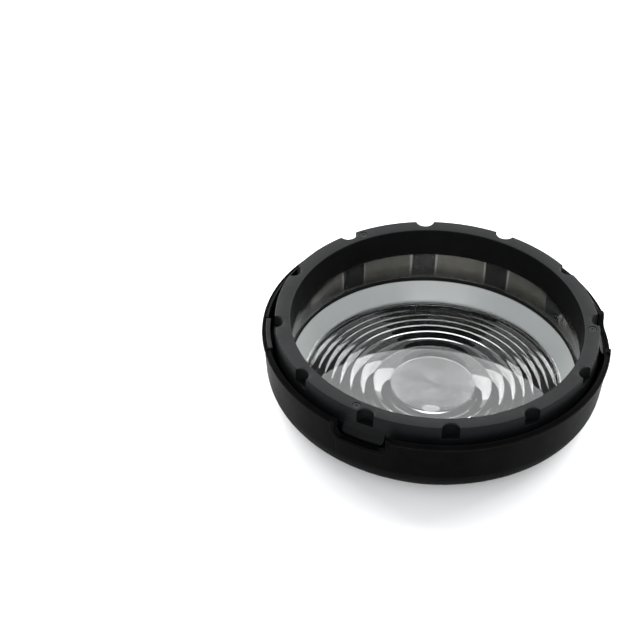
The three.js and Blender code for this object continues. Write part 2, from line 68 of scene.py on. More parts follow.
def fillet(corners, steps=4):
    """A closed outline of (r, z, radius) corners with each corner rounded to its radius."""
    points = []
    for i, (r, z, radius) in enumerate(corners):
        here = Vector((r, z))
        if radius <= 0:
            points.append((r, z))
            continue
        before = (Vector(corners[i - 1][:2]) - here).normalized()
        after = (Vector(corners[(i + 1) % len(corners)][:2]) - here).normalized()
        half = before.angle(after) / 2
        centre = here + (before + after).normalized() * (radius / math.sin(half))
        start = here + before * (radius / math.tan(half)) - centre
        end = here + after * (radius / math.tan(half)) - centre
        sweep = start.angle_signed(end)
        for k in range(steps + 1):
            turned = start.copy()
            turned.rotate(Matrix.Rotation(-sweep * k / steps, 2))
            points.append(tuple(centre + turned))
    return points


def finish_mesh(name, verts, faces, sharp=32.0, merge=0.002):
    """A new object with clean topology, smooth where it bends less than sharp degrees."""
    mesh = bpy.data.meshes.new(name)
    mesh.from_pydata([tuple(c * MM for c in v) for v in verts], [], faces)
    bm = bmesh.new()
    bm.from_mesh(mesh)
    bmesh.ops.remove_doubles(bm, verts=bm.verts, dist=merge * MM)
    bmesh.ops.dissolve_degenerate(bm, edges=bm.edges, dist=merge * MM)
    bmesh.ops.recalc_face_normals(bm, faces=bm.faces)
    bm.to_mesh(mesh)
    bm.free()
    mesh.shade_smooth()
    mesh.set_sharp_from_angle(angle=math.radians(sharp))
    obj = bpy.data.objects.new(name, mesh)
    bpy.context.scene.collection.objects.link(obj)
    return obj


def swept(sections, closed=True):
    """Vertices and faces of a skin through (azimuth, outline) sections of equal length."""
    count = len(sections[0][1])
    verts = []
    for azimuth, outline in sections:
        c, s = math.cos(math.radians(azimuth)), math.sin(math.radians(azimuth))
        verts += [(r * c, r * s, z) for r, z in outline]
    faces = []
    total = len(sections)
    for i in range(total if closed else total - 1):
        j = (i + 1) % total
        for k in range(count):
            m = (k + 1) % count
            faces.append((i * count + k, j * count + k, j * count + m, i * count + m))
    if not closed:
        faces.append(tuple(range(count)))
        faces.append(tuple((total - 1) * count + k for k in reversed(range(count))))
    return verts, faces


def turned(name, outline, steps=360, **options):
    return finish_mesh(name, *swept([(360 * i / steps, outline) for i in range(steps)]), **options)


def arc(outline, start, end, step=0.75):
    count = max(2, math.ceil((end - start) / step))
    return swept([(start + (end - start) * i / count, outline) for i in range(count + 1)], closed=False)


def joined(parts):
    """Several (vertices, faces) shells as one."""
    verts, faces = [], []
    for part_verts, part_faces in parts:
        base = len(verts)
        verts += part_verts
        faces += [tuple(base + i for i in face) for face in part_faces]
    return verts, faces


def box_outline(inner, outer, bottom, top, edge=0.0):
    return fillet([(inner, bottom, edge), (outer, bottom, edge), (outer, top, edge), (inner, top, edge)], 3)


def cylinder(name, radius, azimuth, pitch, bottom, top, sides=32):
    """An upright round cutter."""
    a = math.radians(azimuth)
    cx, cy = pitch * math.cos(a), pitch * math.sin(a)
    turns = [math.tau * i / sides for i in range(sides)]
    ring = [(radius * math.cos(t), radius * math.sin(t)) for t in turns]
    verts = [(cx + x, cy + y, z) for z in (bottom, top) for x, y in ring]
    faces = [(i, (i + 1) % sides, sides + (i + 1) % sides, sides + i) for i in range(sides)]
    faces += [tuple(reversed(range(sides))), tuple(range(sides, 2 * sides))]
    return finish_mesh(name, verts, faces)


def cut(obj, cutters, sharp=32.0):
    """Takes the cutters out of obj and deletes them."""
    for cutter in cutters:
        modifier = obj.modifiers.new("cut", "BOOLEAN")
        modifier.operation = "DIFFERENCE"
        modifier.solver = "EXACT"
        modifier.object = cutter
    depsgraph = bpy.context.evaluated_depsgraph_get()
    mesh = bpy.data.meshes.new_from_object(obj.evaluated_get(depsgraph))
    obj.modifiers.clear()
    obj.data = mesh
    mesh.shade_smooth()
    mesh.set_sharp_from_angle(angle=math.radians(sharp))
    for cutter in cutters:
        bpy.data.objects.remove(cutter, do_unlink=True)
    return obj


def bevelled(obj, width, segments=3):
    """Rounds the sharp edges of obj."""
    modifier = obj.modifiers.new("edges", "BEVEL")
    modifier.width = width * MM
    modifier.segments = segments
    modifier.limit_method = "ANGLE"
    modifier.angle_limit = math.radians(35)
    modifier.use_clamp_overlap = True
    return obj


def place(obj, body, slot, nodes, *materials):
    for m in materials:
        obj.data.materials.append(m)
    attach(obj, body)
    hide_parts(*nodes)
    return obj


def paint(obj, index, test):
    """Gives the faces whose centre passes test(radius, height, azimuth) the material at index."""
    for polygon in obj.data.polygons:
        x, y, z = polygon.center / MM
        if test(math.hypot(x, y), z, math.degrees(math.atan2(y, x))):
            polygon.material_index = index


# ---- materials ---------------------------------------------------------------------------------


class Nodes:
    """A short way to write a node tree."""

    def __init__(self, name):
        self.material = bpy.data.materials.new(name)
        self.material.use_nodes = True
        self.tree = self.material.node_tree
        self.shader = self.tree.nodes["Principled BSDF"]
        self.output = self.tree.nodes["Material Output"]
        self.position = self.add("ShaderNodeTexCoord").outputs["Object"]

    def add(self, kind, inputs=None, **settings):
        node = self.tree.nodes.new(kind)
        for key, value in settings.items():
            setattr(node, key, value)
        for key, value in (inputs or {}).items():
            if isinstance(value, bpy.types.NodeSocket):
                self.tree.links.new(value, node.inputs[key])
            else:
                node.inputs[key].default_value = value
        return node

    def set(self, **values):
        for key, value in values.items():
            socket = self.shader.inputs[key.replace("_", " ")]
            if isinstance(value, bpy.types.NodeSocket):
                self.tree.links.new(value, socket)
            else:
                socket.default_value = value

    def noise(self, size_mm, detail=3.0, roughness=0.55, distortion=0.0):
        """Noise whose features are about size_mm across, from 0 to 1."""
        inputs = {"Vector": self.position, "Scale": 1 / (size_mm * MM), "Detail": detail}
        inputs |= {"Roughness": roughness, "Distortion": distortion}
        return self.add("ShaderNodeTexNoise", inputs).outputs["Fac"]

    def spread(self, value, low, high, start=0.3, end=0.7):
        inputs = {"Value": value, "From Min": start, "From Max": end, "To Min": low, "To Max": high}
        return self.add("ShaderNodeMapRange", inputs).outputs["Result"]

    def blend(self, factor, first, second):
        node = self.add("ShaderNodeMix", data_type="RGBA")
        self.tree.links.new(factor, node.inputs[0])
        for index, value in ((6, first), (7, second)):
            if isinstance(value, bpy.types.NodeSocket):
                self.tree.links.new(value, node.inputs[index])
            else:
                node.inputs[index].default_value = (*value, 1)
        return node.outputs[2]

    def bump(self, height, depth_mm, strength=1.0, normal=None):
        inputs = {"Height": height, "Distance": depth_mm * MM, "Strength": strength}
        if normal is not None:
            inputs["Normal"] = normal
        return self.add("ShaderNodeBump", inputs).outputs["Normal"]

    def math(self, operation, first, second=0.0):
        node = self.add("ShaderNodeMath", operation=operation)
        for index, value in enumerate((first, second)):
            if isinstance(value, bpy.types.NodeSocket):
                self.tree.links.new(value, node.inputs[index])
            else:
                node.inputs[index].default_value = value
        return node.outputs[0]

    def edges(self, radius_mm):
        """1 along convex and concave edges, 0 on flat stretches."""
        soft = self.add("ShaderNodeBevel", {"Radius": radius_mm * MM}, samples=4).outputs["Normal"]
        flat = self.add("ShaderNodeNewGeometry").outputs["Normal"]
        dot = self.add("ShaderNodeVectorMath", {0: soft, 1: flat}, operation="DOT_PRODUCT").outputs["Value"]
        return self.spread(dot, 1.0, 0.0, 0.90, 0.995)


def plastic(
    name, base, lighter, rough, grain_mm=0.16, grain_depth=0.012, specular=0.5, edge=None, dust=0.25
):
    """Moulded plastic: mottled colour, fine grain, handling marks, and slightly polished edges that are
    painted lighter as a highlight.
    """
    n = Nodes(name)
    mottle = n.spread(n.noise(6.0, 4.0), 0.0, 1.0)
    speck = n.spread(n.noise(0.35, 2.0), 0.0, dust, 0.58, 0.8)
    colour = n.blend(mottle, base, tuple(0.6 * a + 0.4 * b for a, b in zip(base, lighter)))
    colour = n.blend(speck, colour, lighter)
    handling = n.spread(n.noise(14.0, 5.0, 0.6, 0.8), -0.06, 0.06)
    roughness = n.math("ADD", n.spread(n.noise(0.5, 3.0), rough - 0.05, rough + 0.05), handling)
    if edge is not None:
        # Edges are made a little smoother and painted toward the edge colour: a painted highlight.
        edge_polish_and_painted_highlight = n.math("MULTIPLY", n.edges(0.35), n.spread(n.noise(1.2, 3.0), 0.35, 1.0))
        colour = n.blend(edge_polish_and_painted_highlight, colour, edge)
        roughness = n.math("SUBTRACT", roughness, n.math("MULTIPLY", edge_polish_and_painted_highlight, 0.1))
    grain = n.bump(n.noise(grain_mm, 3.0, 0.6), grain_depth, 0.6)
    n.set(Base_Color=colour, Roughness=roughness, Normal=n.bump(n.noise(4.0, 2.0), 0.02, 0.3, grain))
    n.set(Specular_IOR_Level=specular)
    return n.material


def optic(
    name, tint, rough_low, rough_high, groove_depth, shadow_tint=(0.92, 0.94, 0.94), spokes=False
):
    """Clear moulded acrylic with turning marks, faint haze and dust; lamps shine through it.

    With spokes, fine marks also fan out from the middle.
    """
    n = Nodes(name)
    rings = n.add(
        "ShaderNodeTexWave",
        {"Vector": n.position, "Scale": math.tau / (20 * 0.3 * MM), "Distortion": 0.0},
        wave_type="RINGS",
        rings_direction="Z",
    ).outputs["Fac"]
    haze = n.spread(n.noise(9.0, 5.0, 0.6), rough_low, rough_high)
    dust = n.spread(n.noise(0.3, 2.0), 0.0, 0.08, 0.76, 0.84)
    n.set(Base_Color=n.blend(n.spread(n.noise(12.0), 0, 1), tint, tuple(0.97 * c for c in tint)))
    n.set(Roughness=n.math("ADD", haze, dust), Transmission_Weight=1.0, IOR=1.49)
    normal = n.bump(n.noise(5.0, 2.0), 0.0006, 0.3)
    if spokes:
        apart = n.add("ShaderNodeSeparateXYZ", {0: n.position}).outputs
        turn = n.math("MULTIPLY", n.math("ARCTAN2", apart["Y"], apart["X"]), 2.2)
        around = n.add("ShaderNodeCombineXYZ", {"X": turn}).outputs[0]
        settings = {"Vector": around, "Scale": 3.0, "Detail": 6.0, "Roughness": 0.7}
        fan = n.add("ShaderNodeTexNoise", settings).outputs["Fac"]
        normal = n.bump(fan, 0.12, 0.6, normal)
    n.set(Normal=n.bump(rings, groove_depth, 0.5, normal))
    lamp = n.add("ShaderNodeLightPath").outputs["Is Shadow Ray"]
    clear = n.add("ShaderNodeBsdfTransparent", {"Color": (*shadow_tint, 1)})
    mix = n.add("ShaderNodeMixShader", {0: lamp, 1: n.shader.outputs[0], 2: clear.outputs[0]})
    n.tree.links.new(mix.outputs[0], n.output.inputs["Surface"])
    return n.material


def satin(name, base, lighter, rough):
    """Etched acrylic: smooth to the eye, with a slow drift of tone, sheen and level."""
    n = Nodes(name)
    drift = n.spread(n.noise(16.0, 2.0), 0.0, 1.0, 0.15, 0.85)
    n.set(Base_Color=n.blend(drift, base, lighter), Specular_IOR_Level=0.8)
    n.set(Roughness=n.spread(n.noise(9.0, 2.0), rough - 0.03, rough + 0.04, 0.15, 0.85))
    n.set(Normal=n.bump(n.noise(12.0, 1.0), 0.01, 0.2))
    return n.material


def metal(name, base, rough, streak_mm=0.08):
    """Drawn metal with fine streaks and slightly uneven tone."""
    n = Nodes(name)
    drawn = n.noise(streak_mm, 2.0)
    n.set(Base_Color=n.blend(n.spread(n.noise(1.5), 0, 1), base, tuple(0.8 * c for c in base)))
    n.set(Roughness=n.spread(drawn, rough - 0.06, rough + 0.1), Metallic=1.0)
    n.set(Normal=n.bump(drawn, 0.004, 0.5))
    return n.material


def fade_low_end(material):
    """Darkens a finish toward the bottom of the windows, where the seal shades it."""
    tree = material.node_tree
    shader = tree.nodes["Principled BSDF"]
    height = tree.nodes.new("ShaderNodeSeparateXYZ")
    tree.links.new(tree.nodes["Texture Coordinate"].outputs["Object"], height.inputs[0])
    ramp = tree.nodes.new("ShaderNodeMapRange")
    ramp.interpolation_type = "SMOOTHSTEP"
    for key, value in {"From Min": 8.2 * MM, "From Max": 13.5 * MM, "To Min": 0.22, "To Max": 1.0}.items():
        ramp.inputs[key].default_value = value
    tree.links.new(height.outputs["Z"], ramp.inputs["Value"])
    scale = tree.nodes.new("ShaderNodeVectorMath")
    scale.operation = "SCALE"
    tree.links.new(shader.inputs["Base Color"].links[0].from_socket, scale.inputs[0])
    tree.links.new(ramp.outputs["Result"], scale.inputs["Scale"])
    tree.links.new(scale.outputs["Vector"], shader.inputs["Base Color"])


# The edge colours given below are painted edge highlights.
holder_black = plastic(
    "holder_black", (0.0009, 0.0009, 0.0008), (0.004, 0.004, 0.0038), 0.42, specular=0.013,
    edge=(0.006, 0.006, 0.006),
)
inner_black = plastic("inner_black", (0.0012, 0.0012, 0.0012), (0.003, 0.003, 0.003), 0.6, specular=0.04)
bezel_satin = plastic(
    "bezel_satin", (0.0024, 0.0028, 0.003), (0.006, 0.0065, 0.007), 0.48, grain_mm=0.13, specular=0.08,
    edge=(0.012, 0.013, 0.014),
)
# The bore finish; the bezel's notch walls take it too as painted shade.
bore_black_and_notch_shade = plastic("bore_black_and_notch_shade", (0.0016, 0.0016, 0.0016), (0.004, 0.004, 0.004), 0.62, specular=0.06)
lug_black = plastic(
    "lug_black", (0.0014, 0.0015, 0.0016), (0.004, 0.0042, 0.0044), 0.4, specular=0.06,
    edge=(0.014, 0.015, 0.016),
)
key_grey = plastic(
    "key_grey", (0.0025, 0.0027, 0.003), (0.006, 0.0065, 0.007), 0.42, specular=0.07,
    edge=(0.012, 0.012, 0.012),
)
# The barrel's bore behind the smoked sleeve is painted light grey-brown: a painted reflection.
sleeve_wall_painted_reflection = plastic("sleeve_wall_painted_reflection", (0.15, 0.15, 0.138), (0.185, 0.185, 0.17), 0.3, dust=0.1)
# Strips beside the ribs, painted lighter: a painted highlight.
sleeve_streak_painted_highlight = plastic("sleeve_streak_painted_highlight", (0.5, 0.5, 0.48), (0.6, 0.6, 0.58), 0.25, dust=0.1)
post_black = plastic(
    "post_black", (0.0015, 0.0015, 0.0015), (0.004, 0.004, 0.004), 0.3, specular=0.08, dust=0.1
)
for finish in (sleeve_wall_painted_reflection, sleeve_streak_painted_highlight):
    fade_low_end(finish)
rubber = plastic("rubber", (0.004, 0.004, 0.004), (0.01, 0.01, 0.01), 0.75, specular=0.1, dust=0.4)
clear_optic = optic("clear_optic", (0.97, 0.985, 0.985), 0.0, 0.006, 0.0)
grooved_optic = optic("grooved_optic", (0.97, 0.985, 0.985), 0.0, 0.008, 0.0001)
satin_optic = satin("satin_optic", (0.29, 0.307, 0.301), (0.32, 0.338, 0.333), 0.3)
spun_optic = optic("spun_optic", (0.97, 0.985, 0.985), 0.02, 0.05, 0.0, spokes=True)
smoked = optic("smoked", (0.72, 0.715, 0.69), 0.09, 0.15, 0.0, shadow_tint=(0.7, 0.69, 0.66))
spring_steel = metal("spring_steel", (0.55, 0.56, 0.58), 0.28)
black_steel = metal("black_steel", (0.018, 0.0185, 0.0195), 0.42)


# ---- the holder --------------------------------------------------------------------------------


def window_height(offset_mm):
    """Height of a window's edge at a sideways distance from its middle."""
    past = max(0.0, abs(offset_mm) - (WINDOW_HALF - WINDOW_CORNER))
    return WINDOW_SILL + WINDOW_CORNER - math.sqrt(max(0.0, WINDOW_CORNER**2 - past**2))


def sideways(offset_mm, radius=WINDOW_WALL_RADIUS):
    return math.degrees(math.asin(offset_mm / radius))


POCKET_FLOOR, POCKET_WALL, POCKET_HALF = 18.15, 49.25, KEY_HALF_ANGLE + 0.4

HOLDER = fillet(
    [
        (37.6, 0, 0.2),
        (41.35, 0, 0.5),
        (48.03, 6.27, 8.0),
        (WALL_TOP_RADIUS, RIM_TOP - 1.1, 0.15),
        (RIM_OUTER, RIM_TOP - 0.8, 0.12),
        (RIM_OUTER, RIM_TOP, 0.28),
    ],
    8,
)
HOLDER_INNER_TOP = [(RIM_INNER + 0.2, RIM_TOP), (RIM_INNER, RIM_TOP - 0.2), (RIM_INNER, POCKET_FLOOR)]
HOLDER_INNER = [
    (RIM_INNER, POCKET_FLOOR),
    (RIM_INNER, 10.4),
    (46.9, 10.4),
    (46.9, 8.2),
    (46.2, 6.9),
    (40.9, 1.6),
    (37.6, 1.6),
]


def holder_section(top=RIM_TOP, pocket=False):
    inner_top = [(POCKET_WALL, z) for _, z in HOLDER_INNER_TOP] if pocket else HOLDER_INNER_TOP
    outline = outer_side() + inner_top + HOLDER_INNER
    return [(r, min(z, top)) for r, z in outline]


def outer_side():
    """The outline up to the rim, without the closing corner that fillet() adds on the far side."""
    return [p for p in HOLDER if p[1] < RIM_TOP + 0.01]


def holder_azimuths():
    """(azimuth, window height or None, in the key's pocket) for each section, by growing azimuth."""
    found = []
    edge = sideways(WINDOW_HALF)
    for i in range(720):
        azimuth = i * 0.5
        nearest = min(WINDOWS, key=lambda w: abs((azimuth - w + 180) % 360 - 180))
        off = (azimuth - nearest + 180) % 360 - 180
        if abs(off) > edge + 0.05:
            found.append((azimuth, None, abs(azimuth - KEY_AZIMUTH) < POCKET_HALF))
    for window in WINDOWS:
        for side in (-1, 1):
            found.append((window + side * (edge + 1e-4), None, False))
        offsets = [WINDOW_HALF - WINDOW_CORNER * (1 - math.cos(math.radians(t))) for t in range(0, 91, 10)]
        across = sorted({*offsets, *(-x for x in offsets), *(0.5 * i for i in range(-11, 12))})
        found += [(window + sideways(x), window_height(x), False) for x in across]
    for side in (-1, 1):
        azimuth = KEY_AZIMUTH + side * POCKET_HALF
        found += [(azimuth - 1e-4 * side, None, True), (azimuth, None, False)]
    return sorted(((a % 360, top, pocket) for a, top, pocket in found), key=lambda row: row[0])


def window_bead(azimuth):
    """The rounded border along a window's edge, from the rim down, across under the sill and up again."""
    path = [(-WINDOW_HALF, z) for z in np.linspace(RIM_TOP, WINDOW_SILL + WINDOW_CORNER, 8)]
    low = WINDOW_SILL + WINDOW_CORNER
    turn = WINDOW_HALF - WINDOW_CORNER
    for t in range(8, 91, 8):
        a = math.radians(t)
        path.append((-turn - WINDOW_CORNER * math.cos(a), low - WINDOW_CORNER * math.sin(a)))
    path += [(x, WINDOW_SILL) for x in np.linspace(-turn + 0.3, turn - 0.3, 24)]
    path += [(-x, z) for x, z in reversed(path[: len(path) - 24])]
    inner, outer = RIM_INNER + 0.05, RIM_OUTER - 0.02
    corners = [(0, inner, 0.12), (WINDOW_BEAD, inner, 0), (WINDOW_BEAD, outer, 0.4), (0, outer, 0.3)]
    section = fillet(corners, 4)
    verts, faces = [], []
    for i, (x, z) in enumerate(path):
        ahead, behind = path[min(i + 1, len(path) - 1)], path[max(i - 1, 0)]
        along = Vector((ahead[0] - behind[0], ahead[1] - behind[1])).normalized()
        out = Vector((along.y, -along.x))
        if out.dot(Vector((x, z - RIM_TOP))) < 0:
            out = -out
        for n, r in section:
            a = math.radians(azimuth + sideways(x + out.x * n))
            verts.append((r * math.cos(a), r * math.sin(a), min(z + out.y * n, RIM_TOP)))
    count = len(section)
    for i in range(len(path) - 1):
        for k in range(count):
            m = (k + 1) % count
            faces.append((i * count + k, (i + 1) * count + k, (i + 1) * count + m, i * count + m))
    faces += [tuple(reversed(range(count))), tuple((len(path) - 1) * count + k for k in range(count))]
    return verts, faces


holder_sections = []
for azimuth, top, pocket in holder_azimuths():
    holder_sections.append((azimuth, holder_section(RIM_TOP if top is None else top, pocket)))
holder_parts = [swept(holder_sections)]
for window in WINDOWS:
    holder_parts.append(window_bead(window))
    holder_parts.append(arc(box_outline(46.9, 48.4, 12.8, 14.2, 0.12), window - 30.3, window - 11))
    holder_parts.append(arc(box_outline(46.9, 48.4, 10.3, 12.85, 0.1), window - 30.3, window - 28.3))
holder = finish_mesh("holder_ring_detail", *joined(holder_parts), merge=0.0005)
place(holder, "holder", "holder_shell", ["holder_ring"], holder_black, inner_black)
paint(holder, 1, lambda r, z, a: r < RIM_INNER + 0.02 and z > 1.7)

key_outline = [(47.5, 18.4), (49.0, 18.4), (49.0, RIM_TOP), (47.5, RIM_TOP)]
key_shell = arc(key_outline, KEY_AZIMUTH - KEY_HALF_ANGLE, KEY_AZIMUTH + KEY_HALF_ANGLE)
key = finish_mesh("index_key_detail", *key_shell)
bevelled(key, 0.22)
place(key, "holder", "key", ["index_key"], key_grey)

# ---- the lens cell -----------------------------------------------------------------------------


def bezel_section(notch_radius=CELL):
    lip = 0.3
    outline = [(BORE_FOOT, 17.1), (42.85, 17.1), (42.85, 19.0), (CELL - 0.15, 19.0), (CELL, 19.15)]
    outline += [(CELL, NOTCH_FLOOR), (notch_radius, NOTCH_FLOOR)]
    for k in range(5):
        t = math.pi / 2 * k / 4
        outline.append((notch_radius - lip + lip * math.cos(t), HEIGHT - lip + lip * math.sin(t)))
    for k in range(5):
        t = math.pi / 2 * k / 4
        outline.append((BORE_TOP + 0.25 - 0.25 * math.sin(t), HEIGHT - 0.25 + 0.25 * math.cos(t)))
    return outline


def bezel_sections():
    reach = math.acos((NOTCH_CENTRE**2 + NOTCH_RADIUS**2 - CELL**2) / (2 * NOTCH_CENTRE * NOTCH_RADIUS))
    rows = []
    pitch = 360 / NOTCH_COUNT
    for i in range(NOTCH_COUNT):
        for t in np.linspace(-reach, reach, 25):
            out, side = NOTCH_CENTRE - NOTCH_RADIUS * math.cos(t), NOTCH_RADIUS * math.sin(t)
            rows.append((i * pitch + math.degrees(math.atan2(side, out)), math.hypot(out, side)))
        edge = rows[-1][0] - i * pitch
        rows += [(a, CELL) for a in np.linspace(i * pitch + edge, (i + 1) * pitch - edge, 34)[1:-1]]
    return [(a, bezel_section(min(r, CELL))) for a, r in rows]


bezel = finish_mesh("front_bezel_detail", *swept(bezel_sections()), merge=0.0005)
recesses = [cylinder(f"recess_{w}", 1.2, w + SCREW_OFFSET, SCREW_RADIUS, 24.45, 26.5) for w in WINDOWS]
cut(bezel, recesses)
place(bezel, "lens_cell", "bezel", ["front_bezel"], bezel_satin, bore_black_and_notch_shade)
paint(bezel, 1, lambda r, z, a: r < BORE_TOP + 0.1 and z < HEIGHT - 0.12)
NOTCH_INNER = NOTCH_CENTRE - NOTCH_RADIUS
# The notch walls take the darker bore finish: painted shade in the notches.
paint(bezel, 1, lambda r, z, a: NOTCH_INNER - 0.1 < r < CELL - 0.03 and NOTCH_FLOOR + 0.2 < z < HEIGHT - 0.35)


def barrel_section(rib=False, pocket=False):
    bore = RIB_RADIUS if rib else 43.1
    top = 17.75 if pocket else 18.9
    return [
        (41.9, 3.9),
        (42.5, 3.9),
        (46.33, 7.73),
        (CELL, 7.9),
        (CELL, 8.7),
        (45.7, 8.7),
        (45.7, 9.9),
        (CELL, 9.9),
        (CELL, top),
        (43.25, top),
        (43.25, 18.9),
        (43.1, 18.9),
        (43.1, 16.8),
        (bore, 16.8),
        (bore, 8.6),
        (43.1, 8.6),
        (43.1, 4.9),
        (41.9, 4.9),
    ]


RIB_RADIUS, STREAK = 42.55, 0.9
RIB_HALF = math.degrees(3.4 / RIB_RADIUS)


def barrel_sections():
    breaks = []
    for i in range(NOTCH_COUNT):
        breaks += [30 * i - RIB_HALF, 30 * i + RIB_HALF]
        breaks += [30 * i - RIB_HALF - STREAK, 30 * i + RIB_HALF + STREAK]
    for window in WINDOWS:
        breaks += [window - TAB_HALF_ANGLE - 0.5, window + TAB_HALF_ANGLE - 0.5]
    azimuths = [0.75 * i for i in range(480)]
    azimuths += [(b + d) % 360 for b in breaks for d in (-0.01, 0.01)]
    rows = []
    for a in sorted(set(azimuths)):
        rib = abs((a + 15) % 30 - 15) < RIB_HALF
        pocket = any(-8 < (a - w + 180) % 360 - 180 < 7 for w in WINDOWS)
        rows.append((a, barrel_section(rib, pocket)))
    return rows


barrel_parts = [swept(barrel_sections())]
for window in WINDOWS:
    tab = box_outline(CELL - 0.4, 47.9, 11.1, 12.4, 0.15)
    barrel_parts.append(arc(tab, window - TAB_HALF_ANGLE, window + TAB_HALF_ANGLE))
barrel = finish_mesh("lens_barrel_detail", *joined(barrel_parts), merge=0.0005)
place(barrel, "lens_cell", "barrel", ["lens_barrel"], inner_black, sleeve_wall_painted_reflection, post_black, sleeve_streak_painted_highlight)
# The bore behind the sleeve takes the painted reflection.
paint(barrel, 1, lambda r, z, a: 42.9 < r < 43.2 and 6 < z < 17.5)
paint(barrel, 2, lambda r, z, a: 42.4 < r < 42.95 and 8.6 < z < 17)


def beside_rib(azimuth):
    """True on the narrow strips beside each rib, where the wall catches the light."""
    return RIB_HALF < abs((azimuth + 15) % 30 - 15) < RIB_HALF + STREAK


# The strips beside the ribs take the painted highlight.
paint(barrel, 3, lambda r, z, a: 43.0 < r < 43.2 and 8 < z < 17.5 and beside_rib(a))

sleeve = turned("inner_sleeve_detail", box_outline(41.4, 42.3, 8.3, 17.0, 0.12))
place(sleeve, "lens_cell", "smoked_sleeve", ["inner_sleeve"], smoked)
front_seal = turned("front_lens_seal_detail", box_outline(41.2, 42.8, 7.0, 8.2, 0.3))
place(front_seal, "lens_cell", "seal_rubber", ["front_lens_seal"], rubber)
rear_seal = turned("rear_lens_seal_detail", box_outline(42.0, 42.8, 4.95, 5.45, 0.15))
place(rear_seal, "lens_cell", "seal_rubber", ["rear_lens_seal"], rubber)
dust_corners = [(45.8, 8.9, 0.1), (46.45, 8.9, 0.1), (46.72, 9.3, 0.08), (46.45, 9.7, 0.1), (45.8, 9.7, 0.1)]
dust_outline = fillet(dust_corners, 3)
dust_seal = turned("dust_seal_detail", dust_outline)
place(dust_seal, "lens_cell", "seal_rubber", ["dust_seal"], rubber)


def prism_radius(n):
    return CENTRE_RADIUS * n**PRISM_SPACING


def lens_outline():
    """The lens from its underside's middle, out under the prisms, round the rim and back over its face."""
    outline = []
    for k in range(17):
        r = CENTRE_RADIUS * k / 16
        outline.append((r, FIELD_PLANE - CENTRE_HEIGHT * (1 - (r / CENTRE_RADIUS) ** 2)))
    for n in range(1, PRISM_COUNT + 1):
        inner = prism_radius(n)
        outer = prism_radius(n + 1) if n < PRISM_COUNT else FIELD_RADIUS
        tip = FIELD_PLANE - PRISM_HEIGHT
        foot = inner + 0.07
        outline += [(foot - 0.05, tip + 0.05), (foot, tip)]
        for k in range(1, 7):
            t = k / 6
            slope = t + 0.12 * math.sin(math.pi * t)
            outline.append((foot + (outer - foot) * t, tip + PRISM_HEIGHT * min(slope, 1.0)))
    outline += [(37.2, 1.75), (41.6, 5.2), (41.9, 5.5), (42.65, 5.5), (42.8, 5.65)]
    outline += [(42.8, 6.75), (42.65, 6.9), (41.3, 6.9)]
    outline += [(LENS_FACE_RADIUS + 0.25, LENS_FACE + 0.28), (LENS_FACE_RADIUS + 0.08, LENS_FACE + 0.07)]
    outline += [(LENS_FACE_RADIUS - 0.1, LENS_FACE), (30.0, LENS_FACE), (15.0, LENS_FACE), (0.0, LENS_FACE)]
    return outline


lens = turned("fresnel_lens_detail", lens_outline(), steps=480, sharp=20.0, merge=0.0005)
place(lens, "lens_cell", "optic", ["fresnel_lens"], clear_optic, satin_optic, grooved_optic, spun_optic)
paint(lens, 1, lambda r, z, a: r > LENS_FACE_RADIUS + 0.02)
paint(lens, 2, lambda r, z, a: r < LENS_FACE_RADIUS and z < LENS_FACE - 0.02)
paint(lens, 3, lambda r, z, a: r < CENTRE_RADIUS and z < LENS_FACE - 0.02)


def guide_lug(azimuth):
    """A lug's ramped face with rounded lower corners, and its foot between barrel and bezel."""
    profile = [(48.0, LUG_BOTTOM), (48.0, 17.8), (47.85, 18.1), (47.5, 18.6), (47.15, 19.2), (46.9, 19.9)]
    profile += [(46.7, 20.7), (46.5, LUG_TOP)]
    lower = np.linspace(LUG_BOTTOM, LUG_BOTTOM + LUG_CORNER, 9)
    heights = np.concatenate([lower, np.linspace(19.2, LUG_TOP, 10)])
    radii = np.interp(heights, [z for _, z in profile], [r for r, _ in profile])
    columns = np.linspace(-1, 1, 25)
    verts, faces = [], []
    for z, front in zip(heights, radii):
        past = max(0.0, LUG_BOTTOM + LUG_CORNER - z)
        half = LUG_HALF - LUG_CORNER + math.sqrt(max(0.0, LUG_CORNER**2 - past**2))
        for r in (front, LUG_BACK):
            for u in columns:
                a = math.radians(azimuth + sideways(u * half, 47.5))
                verts.append((r * math.cos(a), r * math.sin(a), z))
    wide = len(columns)
    row = 2 * wide
    for i in range(len(heights) - 1):
        low, high = i * row, (i + 1) * row
        for k in range(wide - 1):
            faces.append((low + k, low + k + 1, high + k + 1, high + k))
            faces.append((low + wide + k, high + wide + k, high + wide + k + 1, low + wide + k + 1))
        faces.append((low, high, high + wide, low + wide))
        faces.append((low + wide - 1, low + row - 1, high + row - 1, high + wide - 1))
    last = (len(heights) - 1) * row
    for k in range(wide - 1):
        faces.append((k, wide + k, wide + k + 1, k + 1))
        faces.append((last + k, last + k + 1, last + wide + k + 1, last + wide + k))
    foot_outline = box_outline(43.5, 46.93, 18.0, 18.9, 0.1)
    foot = arc(foot_outline, azimuth - TAB_HALF_ANGLE, azimuth + TAB_HALF_ANGLE - 1)
    return joined([(verts, faces), foot])


for i, window in enumerate(WINDOWS):
    lug = finish_mesh(f"guide_lug_{i + 1}_detail", *guide_lug(window), merge=0.0005)
    bevelled(lug, 0.18)
    place(lug, "lens_cell", "lug", [f"guide_lug_{i + 1}"], lug_black)

CAD_FINISH = {"leaf_spring": spring_steel, "detent": spring_steel, "bezel_screw": black_steel}
for name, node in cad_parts.items():
    for start, finish in CAD_FINISH.items():
        if name.startswith(start):
            node.data.materials.clear()
            node.data.materials.append(finish)

# ---- floor, light and camera -------------------------------------------------------------------


